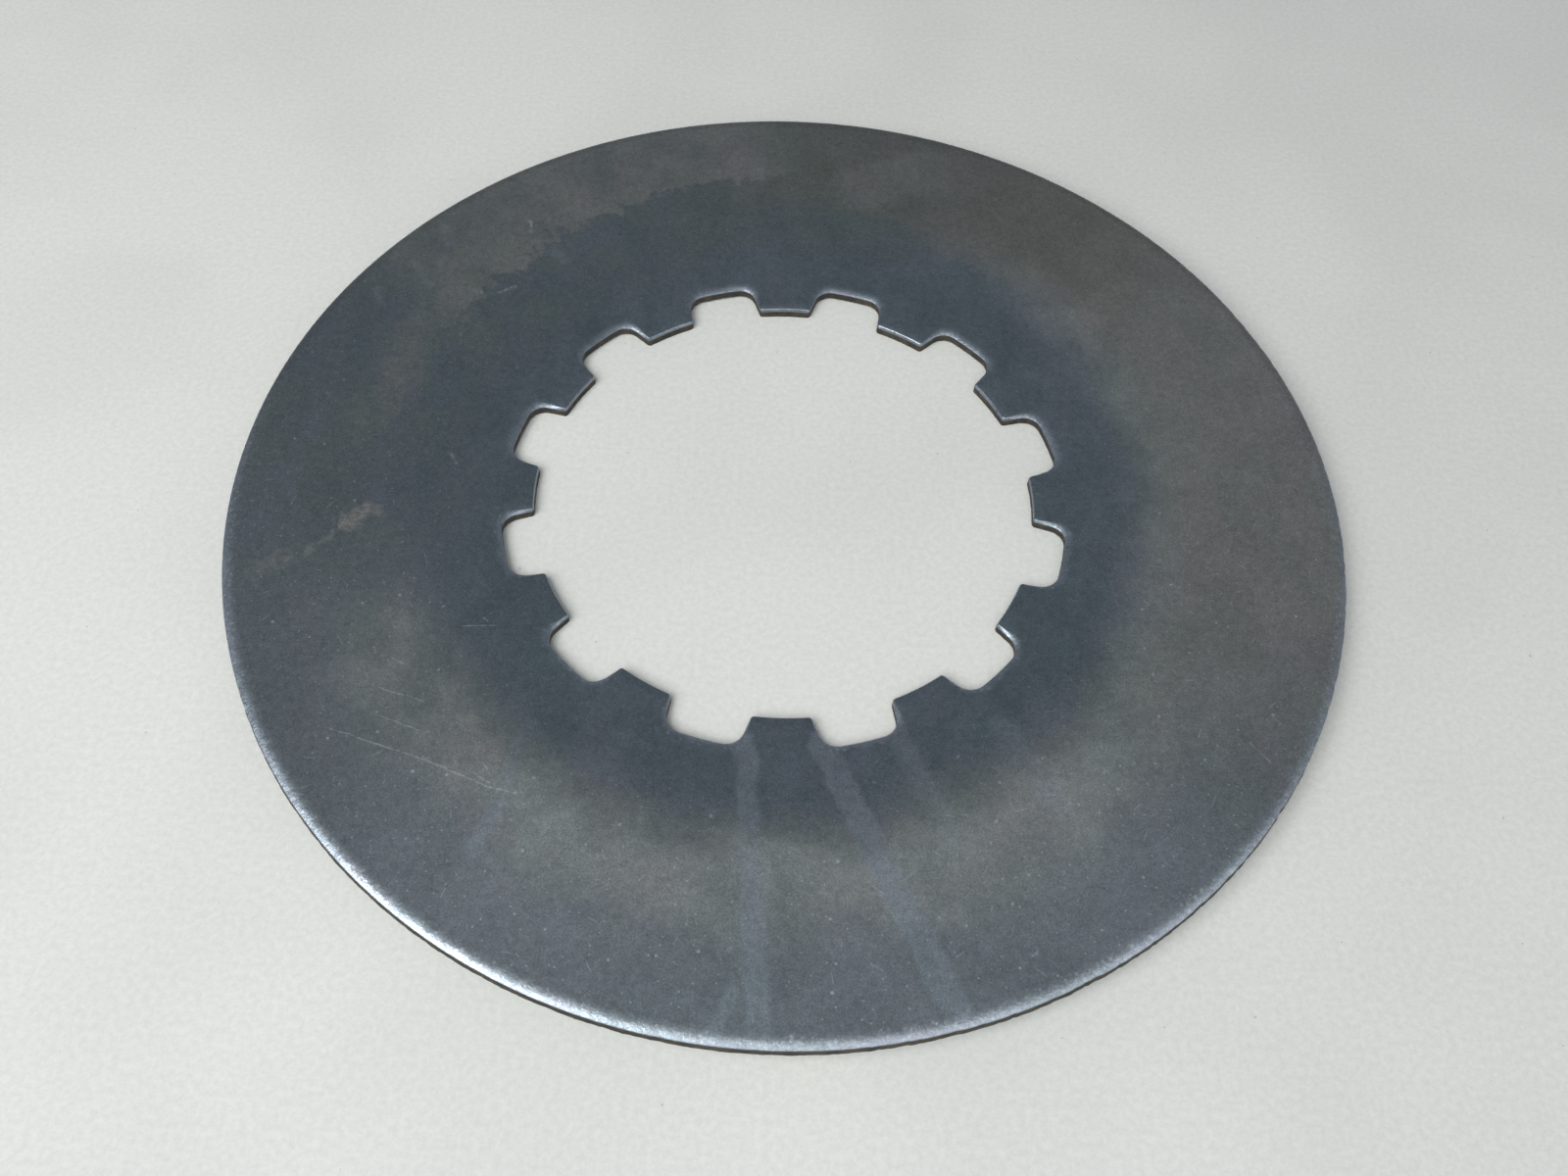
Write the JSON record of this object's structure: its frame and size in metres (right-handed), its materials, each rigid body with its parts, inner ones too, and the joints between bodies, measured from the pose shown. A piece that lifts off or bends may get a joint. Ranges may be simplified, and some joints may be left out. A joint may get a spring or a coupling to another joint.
{
  "type": "splined disc rotor",
  "caption": "Shallow coned disc of thin satin sheet steel with a notched spline hole in the middle, rolled upper edges and no bolt holes or vents.",
  "frame": {"origin": "on the disc's axis, in the plane that the tips of the teeth stand on", "axes": "+Z along the disc's axis, out of the hollow side of the cone; +X through the middle of one tooth"},
  "size_m": [0.15, 0.15, 0.0044],
  "materials": {
    "satin_steel": "satin, cold rolled, lightly oiled with thin brown and blue stains"
  },
  "bodies": {
    "root": {"splined_disc": "satin_steel"}
  },
  "joints": []
}
